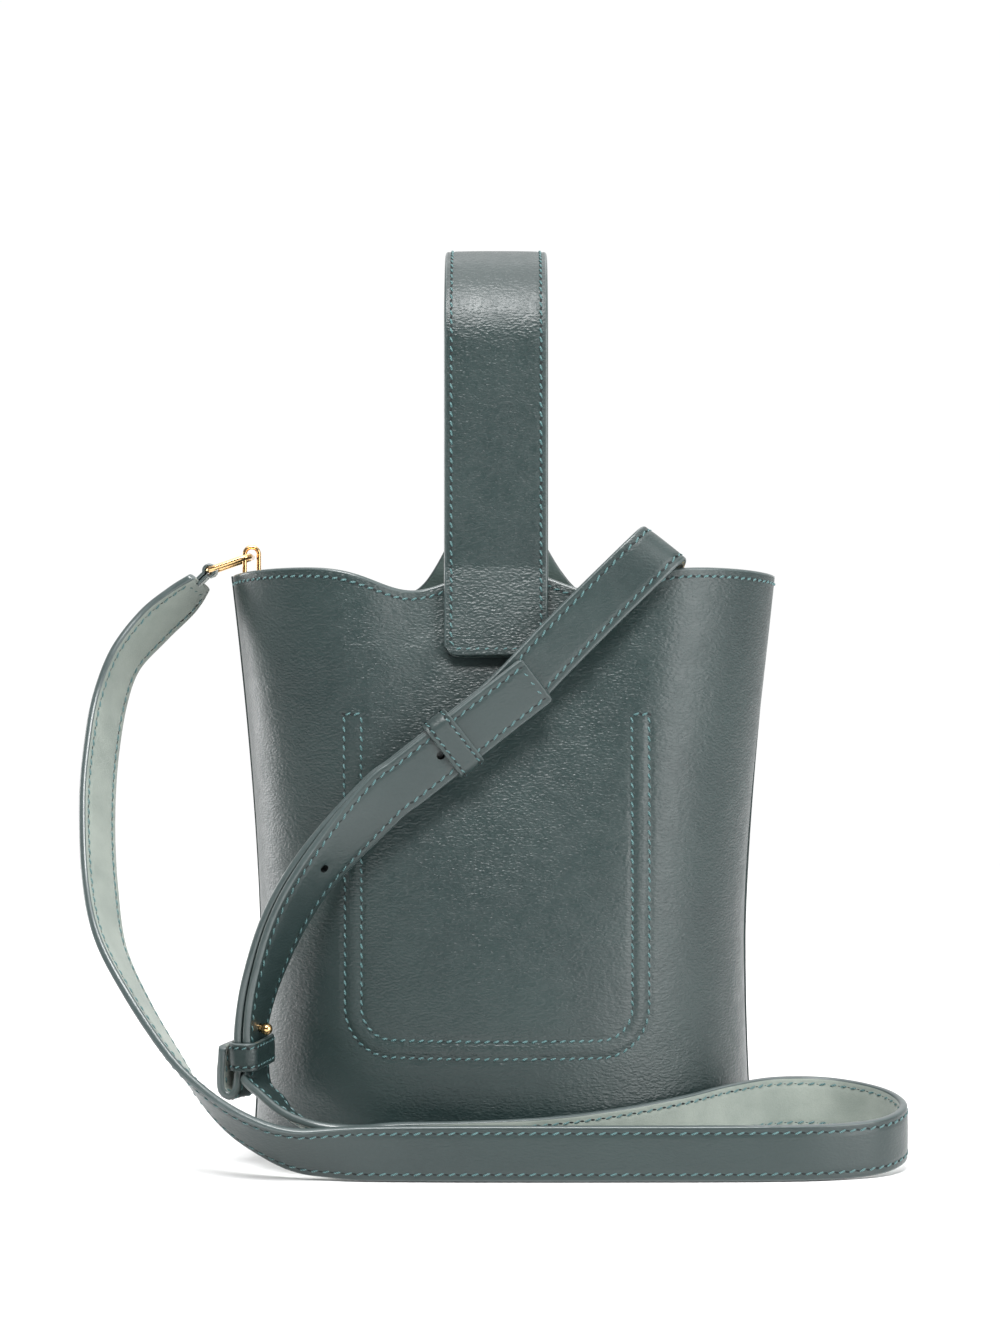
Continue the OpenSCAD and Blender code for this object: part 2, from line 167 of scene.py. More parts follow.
# ---- the front's sewn relief
POCKET_HALF_W, POCKET_TOP, POCKET_LOW = 53.5, 157.0, 38.0
POCKET_CORNER_R, ROW_GAP = 17.0, 6.0
POCKET_X = -2.3
PATCH_BOTTOM = round(patch_low[2], 1)
GROOVE_W, GROOVE_D = 1.0, 0.35
BAND_RISE, POCKET_RISE = 0.3, 0.5
POCKET_FADE_IN, POCKET_FADE_LOW, POCKET_FADE_SOFT = 5, 30, 8
# creases that fan out from the handle patch: side, tilt (radians), distance, height
CREASES = ((-1, 0.5, 15, 0.5), (1, 0.62, 17, 0.45), (-1, 0.15, 24, 0.35), (1, 0.1, 22, 0.3))
CREASE_W, CREASE_LEN, CREASE_LIFT = 5.0, 20, 6
PATCH_PULL, PATCH_PULL_W = 0.4, 3.5


def pocket_distance(x, z, inset):
    """Signed distance from one stitch row of the pocket: a U open at its top."""
    r = POCKET_CORNER_R - inset
    px = np.abs(x - POCKET_X) - (POCKET_HALF_W - inset - r)
    pz = (POCKET_LOW + inset + r) - z
    corner = np.hypot(np.maximum(px, 0), np.maximum(pz, 0))
    return np.maximum(corner, np.maximum(px, pz)) - r


def front_relief(x, z):
    """How far the front leather stands out from the plain wall: sewn grooves and creases."""
    below_top = 1 / (1 + np.exp((z - POCKET_TOP) / 0.8))
    out = np.zeros(np.broadcast(x, z).shape)
    for inset in (0.0, ROW_GAP):
        out -= GROOVE_D * np.exp(-((pocket_distance(x, z, inset) / GROOVE_W) ** 2)) * below_top
    band = np.exp(-(((pocket_distance(x, z, ROW_GAP / 2)) / (ROW_GAP * 0.42)) ** 4))
    out += BAND_RISE * band * below_top
    inside = 1 / (1 + np.exp(pocket_distance(x, z, ROW_GAP) / POCKET_FADE_IN))
    out += POCKET_RISE * inside / (
        1 + np.exp((z - POCKET_TOP + POCKET_FADE_LOW) / POCKET_FADE_SOFT))
    for side, tilt, far, size in CREASES:
        dx, dz = side * (x - HANDLE_X) - HANDLE_W / 2, z - (PATCH_BOTTOM + CREASE_LIFT)
        across = dx * math.sin(tilt) + dz * math.cos(tilt)
        reach = dx * math.cos(tilt) - dz * math.sin(tilt)
        out += size * np.exp(-((across / CREASE_W) ** 2) - (((reach - far) / CREASE_LEN) ** 2))
    # the leather is drawn in a little under the patch's edge
    px = np.maximum(np.abs(x - HANDLE_X) - HANDLE_W / 2, 0)
    pz = np.maximum(PATCH_BOTTOM - z, 0)
    out -= PATCH_PULL * np.exp(-((np.hypot(px, pz) / PATCH_PULL_W) ** 2))
    return out + slow_waves(x, z)


def slow_waves(x, z):
    """Broad, shallow unevenness of soft leather that stands by itself."""
    return 0.5 * np.sin(x / 23 + 1.3) * np.sin(z / 41 + 0.4) + 0.3 * np.sin(x / 13 + z / 29)


def front_point(x, z, lift=0.0):
    """Point on the front leather's good side, and its outward normal."""
    def at(px, pz):
        return np.stack(np.broadcast_arrays(px, -wall_y(px, pz), pz), -1)
    e = 0.5
    tx = at(x + e, z) - at(x - e, z)
    tz = at(x, z + e) - at(x, z - e)
    n = unit(np.cross(tx, tz))
    return at(x, z) + n * (front_relief(x, z) + lift)[..., None], n


# ---- materials
def srgb(r, g, b):
    """Linear colour of an sRGB one given in 0..255."""
    c = np.array([r, g, b]) / 255.0
    lin = np.where(c <= 0.04045, c / 12.92, ((c + 0.055) / 1.055) ** 2.4)
    return (*[float(v) for v in lin], 1.0)


def add_node(tree, kind, inputs=None, **props):
    """Adds a node; each input is another node's socket or a constant."""
    n = tree.nodes.new(kind)
    for key, value in props.items():
        setattr(n, key, value)
    for key, value in (inputs or {}).items():
        if isinstance(value, bpy.types.NodeSocket):
            tree.links.new(value, n.inputs[key])
        else:
            n.inputs[key].default_value = value
    return n


def map_range(tree, value, low, high, out_low, out_high):
    return add_node(tree, "ShaderNodeMapRange", {
        "Value": value, "From Min": low, "From Max": high,
        "To Min": out_low, "To Max": out_high}).outputs["Result"]


class Nodes:
    """Short calls for building one material's node tree."""

    def __init__(self, name):
        self.mat = bpy.data.materials.new(name)
        self.mat.use_nodes = True
        self.tree = self.mat.node_tree
        self.shader = self.tree.nodes["Principled BSDF"]
        self.place = self.add("ShaderNodeTexCoord").outputs["Object"]

    def add(self, kind, inputs=None, **props):
        return add_node(self.tree, kind, inputs, **props)

    def noise(self, scale, detail=3.0, rough=0.55):
        return self.add("ShaderNodeTexNoise", {
            "Vector": self.place, "Scale": scale, "Detail": detail,
            "Roughness": rough}).outputs["Fac"]

    def math(self, op, a, b):
        return self.add("ShaderNodeMath", {0: a, 1: b}, operation=op).outputs[0]

    def ramp(self, value, low, high, out_low, out_high):
        return map_range(self.tree, value, low, high, out_low, out_high)

    def mix(self, fac, a, b):
        return self.add("ShaderNodeMix", {0: fac, 6: a, 7: b}, data_type="RGBA").outputs[2]

    def link(self, value, key):
        self.tree.links.new(value, self.shader.inputs[key])

    def constants(self, **values):
        """Sets inputs of the shader; an underscore in a name stands for a space."""
        for key, value in values.items():
            self.shader.inputs[key.replace("_", " ")].default_value = value

    def bump(self, height, strength, distance, below=None):
        inputs = {"Height": height, "Strength": strength, "Distance": distance}
        if below is not None:
            inputs["Normal"] = below
        return self.add("ShaderNodeBump", inputs).outputs["Normal"]


def leather_material(name, dark, light, rough, grain, coat, waves=0.4):
    """Smooth calf: fine pebbled grain, faint pores and slow changes of tone."""
    k = Nodes(name)
    tone = k.ramp(k.noise(28, 4), 0.35, 0.68, 0.0, 1.0)
    flecks = k.ramp(k.noise(900, 2), 0.4, 0.7, 0.0, 0.35)
    colour = k.mix(k.math("MULTIPLY", tone, 0.55), dark, light)
    k.link(k.mix(flecks, colour, light), "Base Color")
    k.link(k.ramp(k.noise(160, 4), 0.3, 0.7, rough - 0.05, rough + 0.07), "Roughness")
    stretched = k.add("ShaderNodeMapping", {"Vector": k.place, "Scale": (0.6, 0.6, 1.15)})
    wobble = k.add("ShaderNodeVectorMath", {
        0: k.add("ShaderNodeTexNoise", {
            "Vector": k.place, "Scale": 420.0, "Detail": 2.0}).outputs["Color"],
        1: (0.0012, 0.0012, 0.0012), 2: stretched.outputs[0]}, operation="MULTIPLY_ADD")
    cells = k.add("ShaderNodeTexVoronoi", {"Vector": wobble.outputs[0], "Scale": 1250.0},
                  feature="SMOOTH_F1").outputs["Distance"]
    creases = k.ramp(cells, 0.1, 0.7, 1.0, 0.0)
    fine = k.noise(2600, 2)
    height = k.math("ADD", k.math("MULTIPLY", creases, 0.7), k.math("MULTIPLY", fine, 0.3))
    soft = k.bump(k.noise(70, 3), waves, 0.0012)
    k.link(k.bump(height, grain, 0.0003, soft), "Normal")
    k.constants(Coat_Weight=coat, Coat_Roughness=0.38, Specular_IOR_Level=0.5)
    return k.mat


def suede_material(name, dark, light):
    """Inner side of the strap: printed, matte leather with a short nap."""
    k = Nodes(name)
    nap = k.noise(1500, 4, 0.7)
    tone = k.ramp(k.noise(60, 3), 0.35, 0.65, 0.0, 1.0)
    k.link(k.mix(k.math("MULTIPLY", k.math("ADD", nap, tone), 0.5), dark, light), "Base Color")
    k.constants(Roughness=0.72, Sheen_Weight=0.25, Sheen_Roughness=0.5)
    k.link(k.bump(nap, 0.5, 0.00025), "Normal")
    return k.mat


def edge_material():
    """Painted edge: smooth, slightly glossy, with small waves along it."""
    k = Nodes("edge_paint")
    k.link(k.mix(k.noise(220, 3), EDGE_DARK, EDGE_LIGHT), "Base Color")
    k.constants(Roughness=0.3, Coat_Weight=0.3)
    k.link(k.bump(k.noise(420, 2), 0.3, 0.0002), "Normal")
    return k.mat


def thread_material():
    """Waxed thread: twisted strands with a soft gloss; along the twist the colour runs between painted
    shade and painted highlight.
    """
    k = Nodes("thread")
    twist = k.add("ShaderNodeTexWave", {
        "Vector": k.place, "Scale": 900.0, "Distortion": 1.5, "Detail": 1.0},
        wave_type="BANDS", bands_direction="DIAGONAL").outputs["Fac"]
    # colour bands along the twist are painted shade and painted highlight of the plies
    k.link(k.mix(twist, THREAD_PAINTED_SHADE, THREAD_PAINTED_HIGHLIGHT), "Base Color")
    k.constants(Roughness=0.35)
    k.link(k.bump(twist, 0.6, 0.00012), "Normal")
    return k.mat


def painted_hole_shade_material():
    """Near-black painted shade for the inside of needle holes and the walls of punched holes."""
    k = Nodes("needle_hole_painted_shade")
    k.link(k.mix(k.noise(700, 2), srgb(8, 14, 15), srgb(18, 28, 29)), "Base Color")
    k.constants(Roughness=0.8)
    return k.mat


def gold_material():
    """Polished plated metal with faint handling marks."""
    k = Nodes("gold")
    k.link(k.mix(k.noise(500, 3), srgb(214, 166, 106), srgb(240, 204, 150)), "Base Color")
    k.link(k.ramp(k.noise(900, 4), 0.35, 0.7, 0.12, 0.24), "Roughness")
    k.constants(Metallic=1.0)
    k.link(k.bump(k.noise(700, 3), 0.08, 0.0001), "Normal")
    return k.mat


def lining_material():
    """Plain woven cotton."""
    k = Nodes("lining_cloth")
    waves = []
    for axis in ("X", "Z"):
        waves.append(k.add("ShaderNodeTexWave", {
            "Vector": k.place, "Scale": 420.0, "Distortion": 0.6, "Detail": 1.0},
            wave_type="BANDS", bands_direction=axis).outputs["Fac"])
    weave = k.math("MULTIPLY", waves[0], waves[1])
    k.link(k.mix(k.math("MULTIPLY", k.math("ADD", weave, k.noise(300, 3)), 0.5),
                 srgb(120, 112, 98), srgb(158, 148, 130)), "Base Color")
    k.constants(Roughness=0.9, Sheen_Weight=0.2)
    k.link(k.bump(weave, 0.5, 0.0003), "Normal")
    return k.mat


def board_material():
    """Grey pressed board."""
    k = Nodes("pressed_board")
    k.link(k.mix(k.noise(700, 4), srgb(96, 88, 76), srgb(128, 118, 102)), "Base Color")
    k.constants(Roughness=0.92)
    return k.mat


def floor_material():
    """Pale matte studio floor."""
    k = Nodes("floor_white")
    k.link(k.mix(k.noise(3, 2), (0.86, 0.86, 0.86, 1), (0.9, 0.9, 0.9, 1)), "Base Color")
    k.constants(Roughness=0.7)
    return k.mat


EDGE_DARK, EDGE_LIGHT = srgb(54, 66, 66), srgb(74, 84, 84)
# thread colours: painted shade and painted highlight of the strands, banded along the twist
THREAD_PAINTED_SHADE, THREAD_PAINTED_HIGHLIGHT = srgb(34, 66, 70), srgb(96, 132, 132)
LEATHER = leather_material("calf_leather", srgb(27, 42, 42), srgb(38, 54, 53), 0.38, 0.6, 0.2)
STRAP_LEATHER = leather_material("strap_leather", srgb(28, 43, 43), srgb(37, 53, 52), 0.4, 0.3,
                                 0.25, waves=0.1)
INNER = suede_material("strap_inner", srgb(112, 122, 115), srgb(142, 150, 142))
FACING = leather_material("facing_leather", srgb(74, 90, 87), srgb(88, 104, 100), 0.55, 0.3, 0.0)
EDGE = edge_material()
# near-black painted shade for needle holes and the walls of punched holes
HOLE_SHADE = painted_hole_shade_material()
THREAD = thread_material()
GOLD = gold_material()
LINING = lining_material()
BOARD = board_material()


# ---- making meshes
SHARP_DEG = 42


def make(name, verts, faces, mats, body=None, index=None, slot=None, stands_for=(),
         sharp=SHARP_DEG):
    """A mesh piece from points in millimetres. index gives each face its material."""
    mesh = bpy.data.meshes.new(name)
    mesh.from_pydata((np.asarray(verts) * MM).tolist(), [], [list(map(int, f)) for f in faces])
    for mat in mats:
        mesh.materials.append(mat)
    if index is not None:
        mesh.polygons.foreach_set("material_index", np.asarray(index, dtype=np.int32))
    mesh.polygons.foreach_set("use_smooth", np.ones(len(mesh.polygons), dtype=bool))
    mesh.set_sharp_from_angle(angle=math.radians(sharp))
    mesh.update()
    obj = put_in_scene(name, mesh)
    if body:
        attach(obj, body)
    if stands_for:
        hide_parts(*stands_for)
    return obj


def tube_faces(rows, cols, closed_rows=True, closed_cols=False):
    """Quads of a grid of rows x cols points, wound so that both lists run the same way."""
    r = np.arange(rows if closed_rows else rows - 1)
    c = np.arange(cols if closed_cols else cols - 1)
    r, c = np.meshgrid(r, c, indexing="ij")
    r2, c2 = (r + 1) % rows, (c + 1) % cols
    quads = np.stack([r * cols + c, r * cols + c2, r2 * cols + c2, r2 * cols + c], -1)
    return quads.reshape(-1, 4)


def capped_tube(rows, cols):
    """Faces of a tube of rows of cols points, closed at both ends."""
    sides = [tuple(f) for f in tube_faces(rows, cols, False, True)]
    return sides + [tuple(range(cols))[::-1], tuple(range((rows - 1) * cols, rows * cols))]


def face_kind(a, b):
    """Material of a face between two profile points: theirs, or the inner side's along a
    layer's foot, or else the edge's."""
    if a == b:
        return a
    return 2 if {a, b} == {0, 2} else 1


def side_kinds(profile, faces):
    """Material of each face of a swept closed profile of (across, height, material) points."""
    kinds = [point[2] for point in profile]
    starts = [f[0] % len(kinds) for f in faces]
    return [face_kind(kinds[c], kinds[(c + 1) % len(kinds)]) for c in starts]


def layer_rows(n_side, n_round, thick, outer, edge_r):
    """Cross-section of a layer as (share of height, drop below the top, inset) rows, from the
    outer side's foot over the rounded top to the inner side's foot."""
    rows = [(f, None, outer) for f in np.linspace(0, 1, n_side)]
    for a in np.linspace(0, math.pi, n_round + 2)[1:-1]:
        rows.append((None, edge_r * (1 - math.sin(a)), outer + thick / 2 * (1 - math.cos(a))))
    rows += [(f, None, outer + thick) for f in np.linspace(1, 0, n_side)]
    return rows


def wall_layer(name, u0, u1, low, top, outer, thick, cols, n_side, mats, relief=None,
               closed=False, edge_r=0.9, n_round=7, **kind):
    """One layer of the bag's wall, with a rounded upper edge. low and top give heights from x."""
    u = np.radians(np.linspace(u0, u1, cols, endpoint=not closed))
    x_top = wall(u, np.full_like(u, RIM_H), outer)[:, 0]
    z_low, z_top = low(x_top), top(x_top)
    grid, group = [], []
    for share, drop, inset in layer_rows(n_side, n_round, thick, outer, edge_r):
        z = z_top - drop if share is None else z_low + (z_top - edge_r - z_low) * share
        p = wall(u, z, inset)
        if relief is not None:
            p = p + wall_normal(u, z, inset) * relief(p[:, 0], z)[:, None]
        grid.append(p)
        group.append(1 if share is None else (0 if inset == outer else 2))
    rows = len(grid)
    faces = tube_faces(rows, cols, True, closed)
    index = [face_kind(group[r], group[(r + 1) % rows]) for r in faces[:, 0] // cols]
    faces = [tuple(f[::-1]) for f in faces]
    if not closed:
        for c in (0, cols - 1):
            for r in range(rows // 2):
                across = rows - 1 - r
                if r + 1 > across - 1:
                    continue
                ring = [r * cols + c, (r + 1) * cols + c]
                if r + 1 < across - 1:
                    ring.append((across - 1) * cols + c)
                ring.append(across * cols + c)
                faces.append(tuple(ring) if c else tuple(ring[::-1]))
                index.append(1)
    return make(name, np.concatenate(grid), faces, mats, index=index, **kind)


# ---- flat straps
def spline(points, per):
    """Smooth curve through given stations, as in the CAD."""
    p = np.asarray(points, dtype=float)
    last = len(p) - 1
    out = []
    for i in range(last):
        a, b, c, d = p[max(i - 1, 0)], p[i], p[i + 1], p[min(i + 2, last)]
        t = np.linspace(0, 1, per, endpoint=False)[:, None]
        out.append(0.5 * (2 * b + (c - a) * t + (2 * a - 5 * b + 4 * c - d) * t**2
                          + (3 * b - a - 3 * c + d) * t**3))
    out.append(p[last:])
    return np.concatenate(out)


class Route:
    """A centre line with the strap's width direction, addressed by the length along it."""

    def __init__(self, points, wide):
        self.p = np.asarray(points, dtype=float)
        self.s = lengths_along(self.p)
        self.length = float(self.s[-1])
        wide = np.broadcast_to(np.asarray(wide, dtype=float), self.p.shape)
        tangent = unit(np.gradient(self.p, self.s, axis=0))
        self.w = unit(wide - (wide * tangent).sum(1, keepdims=True) * tangent)
        self.t = tangent

    @classmethod
    def from_stations(cls, stations, per=24):
        path = spline(stations, per)
        return cls(path[:, :3], path[:, 3:])

    def at(self, s):
        """Centre, direction, width direction and inward normal at lengths s."""
        s = np.asarray(s, dtype=float)
        p, t, w = (sample(v, self.s, s) for v in (self.p, self.t, self.w))
        t = unit(t)
        w = unit(w - (w * t).sum(-1, keepdims=True) * t)
        return p, t, w, np.cross(t, w)

    def on_face(self, s, across, height):
        """Points at lengths s, across the strap, at a height along the inward normal."""
        p, t, w, n = self.at(s)
        return p + w * np.asarray(across)[..., None] + n * np.asarray(height)[..., None], n


RIM_SETBACK = 0.12


def strap_profile(width, thick, stitch_in, edge_r, groove=0.22, crown=0.12, n_face=22):
    """Closed cross-section as (across, height, material) points: good side, right edge, inner
    side, left edge. Negative heights are the good side."""
    half, h = width / 2, thick / 2
    a = np.linspace(-half + edge_r, half - edge_r, n_face)
    dent = groove * np.exp(-(((half - stitch_in - np.abs(a)) / 0.6) ** 2))
    rim = RIM_SETBACK / (1 + np.exp((half - stitch_in - np.abs(a)) / 0.25))
    top = -(h - dent - rim + crown * (1 - (a / half) ** 2))
    rows = [(x, y, 0) for x, y in zip(a, top)]
    side_h = h - RIM_SETBACK
    arc = np.radians(np.linspace(-90, 90, 8)[1:-1])
    rows += [(half - edge_r + edge_r * math.cos(d), side_h * math.sin(d), 1) for d in arc]
    rows += [(x, -y, 2) for x, y in zip(a[::-1], top[::-1])]
    rows += [(-half + edge_r - edge_r * math.cos(d), side_h * math.sin(d), 1)
             for d in arc[::-1]]
    return rows


def strap_lengths(start, end, step, fine_start=True, fine_end=True):
    """Lengths at which to put cross-sections: even, and close together at a cut end."""
    fine = np.array([0.0, 0.12, 0.35, 0.7, 1.2, 1.9, 2.8, 3.9, 5.2, 6.6])
    s = [np.arange(start, end, step), [end]]
    s += [start + fine] if fine_start else []
    s += [end - fine] if fine_end else []
    return np.unique(np.clip(np.round(np.concatenate(s), 3), start, end))


def cut_end(distance, half, corner_r, edge_r=0.7):
    """Half-width and thickness share this far from a cut end with rounded corners."""
    d = np.clip(distance, 0, None)
    into = np.clip(corner_r - d, 0, corner_r)
    width = half - corner_r + np.sqrt(np.maximum(corner_r**2 - into**2, 0))
    near = np.clip(1 - d / edge_r, 0, 1)
    return width, np.sqrt(np.maximum(1 - near**2, 0.03))


def strap(name, route, profile, mats, start=0.0, end=None, step=1.6, corner_r=(0, 0), shape=None,
          **kind):
    """Sweeps a cross-section along a route. corner_r rounds the cut ends; 0 leaves them square.
    shape may move the points."""
    end = route.length if end is None else end
    s = strap_lengths(start, end, step, corner_r[0] > 0, corner_r[1] > 0)
    across = np.array([r[0] for r in profile])
    height = np.array([r[1] for r in profile])
    half = across.max()
    p, t, w, n = route.at(s)
    a = np.tile(across, (len(s), 1))
    b = np.tile(height, (len(s), 1))
    for distance, radius in ((s - start, corner_r[0]), (end - s, corner_r[1])):
        if radius > 0:
            width, share = cut_end(distance, half, radius)
            a = np.clip(a, -width[:, None], width[:, None])
            b = b * share[:, None]
    verts = p[:, None] + w[:, None] * a[..., None] + n[:, None] * b[..., None]
    if shape is not None:
        verts = shape(verts)
    faces = capped_tube(len(s), len(profile))
    index = side_kinds(profile, faces[:-2]) + [1, 1]
    obj = make(name, verts.reshape(-1, 3), faces, mats, index=index, **kind)
    flip_if_inside_out(obj)
    return obj


def flip_if_inside_out(obj):
    """Turns a closed mesh's faces outward."""
    mesh = obj.data
    mesh.calc_loop_triangles()
    tri = np.array([t.vertices[:] for t in mesh.loop_triangles])
    v = np.array([x.co[:] for x in mesh.vertices])
    a, b, c = v[tri[:, 0]], v[tri[:, 1]], v[tri[:, 2]]
    if np.einsum("ij,ij->i", a, np.cross(b, c)).sum() < 0:
        mesh.flip_normals()


# ---- stitches
STITCH_PITCH, STITCH_SHARE_OF_PITCH, THREAD_R = 3.3, 0.7, 0.38
STITCH_SLANT = math.radians(20)
# needle holes are drawn as flat near-black discs of painted shade: their half-sizes, their lift off the
# surface and their number of sides
NEEDLE_SHADE_SIZE = (0.85, 0.46)
NEEDLE_SHADE_LIFT, STITCH_WANDER = 0.09, 0.03
SHADE_DISC_SIDES = 8
STITCH_SHARE = np.array([-1, -0.82, -0.42, 0, 0.42, 0.82, 1])
STITCH_SIZE = np.array([0.4, 0.8, 1.0, 1.06, 1.0, 0.8, 0.4])
STITCH_SIDES = 6


def even_points(points, normals, pitch):
    """Places a whole number of pitches along a line: middle, direction and normal of each."""
    points, normals = np.asarray(points), np.asarray(normals)
    s = lengths_along(points)
    count = max(int(round(s[-1] / pitch)), 1)
    mid = (np.arange(count) + 0.5) * s[-1] / count
    reach = 0.45 * pitch
    ahead, behind = (sample(points, s, at) for at in (np.minimum(mid + reach, s[-1]), mid - reach))
    return sample(points, s, mid), unit(ahead - behind), unit(sample(normals, s, mid))


def stitches(name, lines, body=None, pitch=STITCH_PITCH, radius=THREAD_R, **kind):
    """One mesh of short, slightly bowed stitches and, between them, flat near-black discs of painted
    shade that stand for the needle holes, along lines of (points, outward normals)."""
    verts, faces, index, base = [], [], [], 0
    rings = len(STITCH_SHARE)
    length = pitch * STITCH_SHARE_OF_PITCH
    shade_turn = np.linspace(0, 2 * math.pi, SHADE_DISC_SIDES, endpoint=False)
    lean = (math.cos(STITCH_SLANT), math.sin(STITCH_SLANT))
    turn = np.linspace(0, 2 * math.pi, STITCH_SIDES, endpoint=False)
    tube = capped_tube(rings, STITCH_SIDES)
    for points, normals in lines:
        mid, along, out = even_points(points, normals, pitch)
        slant = STITCH_SLANT + rng.normal(0, STITCH_WANDER, len(mid))
        side = np.cross(out, along)
        x_dir = along * np.cos(slant)[:, None] + side * np.sin(slant)[:, None]
        y_dir = np.cross(out, x_dir)
        for m, x, y, z in zip(mid, x_dir, y_dir, out):
            rise = radius * ((1 - STITCH_SHARE**2) - 0.55)
            centre = (m + x * (STITCH_SHARE * length / 2)[:, None] + z * rise[:, None])
            ring = (y * np.cos(turn)[:, None] + z * np.sin(turn)[:, None]) * radius
            verts.append((centre[:, None] + ring[None] * STITCH_SIZE[:, None, None])
                         .reshape(-1, 3))
            faces += [tuple(base + i for i in f) for f in tube]
            index += [0] * len(tube)
            base += rings * STITCH_SIDES
        # a flat dark disc just off each side of the surface: painted shade standing for a needle hole
        for m, x, z in zip(mid + along * pitch / 2, along, out):
            y = np.cross(z, x)
            x2, y2 = x * lean[0] - y * lean[1], x * lean[1] + y * lean[0]
            rim = (x2 * np.cos(shade_turn)[:, None] * NEEDLE_SHADE_SIZE[0]
                   + y2 * np.sin(shade_turn)[:, None] * NEEDLE_SHADE_SIZE[1])
            verts.append(np.concatenate([m + rim, [m + z * NEEDLE_SHADE_LIFT, m - z * NEEDLE_SHADE_LIFT]]))
            for i in range(SHADE_DISC_SIDES):
                a, b = base + i, base + (i + 1) % SHADE_DISC_SIDES
                faces += [(a, b, base + SHADE_DISC_SIDES), (b, a, base + SHADE_DISC_SIDES + 1)]
            index += [1] * (2 * SHADE_DISC_SIDES)
            base += SHADE_DISC_SIDES + 2
    return make(name, np.concatenate(verts), faces, [THREAD, HOLE_SHADE], body=body, index=index,
                sharp=80, **kind)


# ---- camera, light and floor
CAMERA_DISTANCE, CAMERA_HEIGHT, CAMERA_SIDE = 1.1, 0.174, -0.0011
LENS_MM, SENSOR_MM = 80.8, 36.0
BEHIND_CAMERA_SHARE = 0.08
# start and end of the fade across, and the share of light left there: left, right
SIDE_DIMMING = ((-0.2, -0.6, 0.4), (0.25, 0.65, 0.7))
FLOOR_HALF, FLOOR_Z = 1500.0, -0.2
# name, place, aim, size in metres, and power in watts
LIGHTS = (
    ("overhead", (0, 0.2, 2.2), (0, 0.1, 0), (3.2, 3.2), 45),
    ("left", (-1.0, 0.6, 0.25), (0, 0, 0.08), (0.5, 0.5), 4),
    ("right", (0.95, -0.8, 0.45), (0, 0, 0.12), (0.6, 0.9), 10),
    ("front_top", (-0.15, -1.1, 1.7), (0, 0, 0.2), (1.2, 0.6), 46),
)


def make_camera():
    data = bpy.data.cameras.new("camera")
    data.sensor_width = SENSOR_MM
    data.lens = LENS_MM
    cam = put_in_scene("camera", data)
    cam.location = (CAMERA_SIDE, -CAMERA_DISTANCE, CAMERA_HEIGHT)
    cam.rotation_euler = (math.pi / 2, 0, 0)
    bpy.context.scene.camera = cam


def area_light(name, place, aim, size, power):
    data = bpy.data.lights.new(name, "AREA")
    data.shape = "RECTANGLE"
    data.size, data.size_y = size
    data.energy = power
    obj = put_in_scene(name, data)
    obj.location = place
    obj.rotation_euler = (Vector(aim) - Vector(place)).to_track_quat("-Z", "Y").to_euler()


def make_world():
    """Plain white studio, dimmer behind the camera and at the sides."""
    world = bpy.data.worlds.new("studio")
    world.use_nodes = True
    tree = world.node_tree
    where = add_node(tree, "ShaderNodeTexCoord").outputs["Generated"]
    split = add_node(tree, "ShaderNodeSeparateXYZ", {0: where})
    strength = map_range(tree, split.outputs["Y"], -1.0, 0.15, BEHIND_CAMERA_SHARE, 1.02)
    for start, end, share in SIDE_DIMMING:
        side = map_range(tree, split.outputs["X"], start, end, 1.0, share)
        strength = add_node(tree, "ShaderNodeMath", {0: strength, 1: side},
                            operation="MULTIPLY").outputs[0]
    back = tree.nodes["Background"]
    tree.links.new(strength, back.inputs["Strength"])
    back.inputs["Color"].default_value = (1, 1, 1, 1)
    bpy.context.scene.world = world


def make_stage():
    corners = [(x * FLOOR_HALF, y * FLOOR_HALF, FLOOR_Z)
               for x, y in ((-1, -1), (1, -1), (1, 1), (-1, 1))]
    floor = make("floor", corners, [(0, 1, 2, 3)], [floor_material()])
    make_world()
    for light in LIGHTS:
        area_light(*light)
    bpy.context.scene.view_settings.view_transform = "Standard"


make_camera()
make_stage()


# ---- bag body
def level(z):
    return lambda x: np.full_like(x, z)


SKINS = [LEATHER, EDGE, FACING]
BOARD_TOP = box_mm("base_board")[1][2]


def back_relief(x, z):
    return 0.6 * np.sin(x / 27 + 0.6) * np.sin(z / 37 + 1.1) + 0.3 * np.sin(x / 17 - z / 31)


def make_panels():
    wall_layer("front_panel_leather", 181, 359, level(0), rim_front, 0, LEATHER_T, 260, 190,
               SKINS, relief=front_relief, body="root", slot="leather",
               stands_for=["front_panel"])
    wall_layer("back_panel_leather", 1, 179, level(0), rim_back, 0, LEATHER_T, 300, 110,
               SKINS, relief=back_relief, body="root", slot="leather",
               stands_for=["back_panel"])


def make_seams():
    for side, u in (("left", 180), ("right", 0)):
        name = "seam_strip_" + side
        wall_layer(name + "_leather", u - 1.5, u + 1.5, level(0), rim_front, -0.5, 0.8, 13, 90,
                   [LEATHER, LEATHER, FACING], body="root", slot="leather", stands_for=[name],
                   edge_r=0.4)


def make_inside():
    wall_layer("lining_cloth", 0, 360, level(BOARD_TOP + LAYER_GAP),
               lambda x: rim_front(x) - FACING_H - 1, LINING_IN, LINING_T, 220, 60,
               [LINING, LINING, LINING], closed=True, edge_r=0.3,
               relief=lambda x, z: 0.12 * np.sin(x / 5 + z / 9) - 0.1,
               body="root", slot="lining", stands_for=["lining"])
    for side, u0, u1, relief in (("front", 181, 359, front_relief), ("back", 1, 179, back_relief)):
        name = "rim_facing_" + side
        wall_layer(name + "_leather", u0, u1, lambda x: rim_front(x) - FACING_H - 0.5,
                   lambda x: rim_front(x) - 0.5, LINING_IN, FACING_T, 180, 16,
                   [FACING, EDGE, FACING], relief=relief, body="root", slot="leather_inner",
                   stands_for=[name], edge_r=0.5)


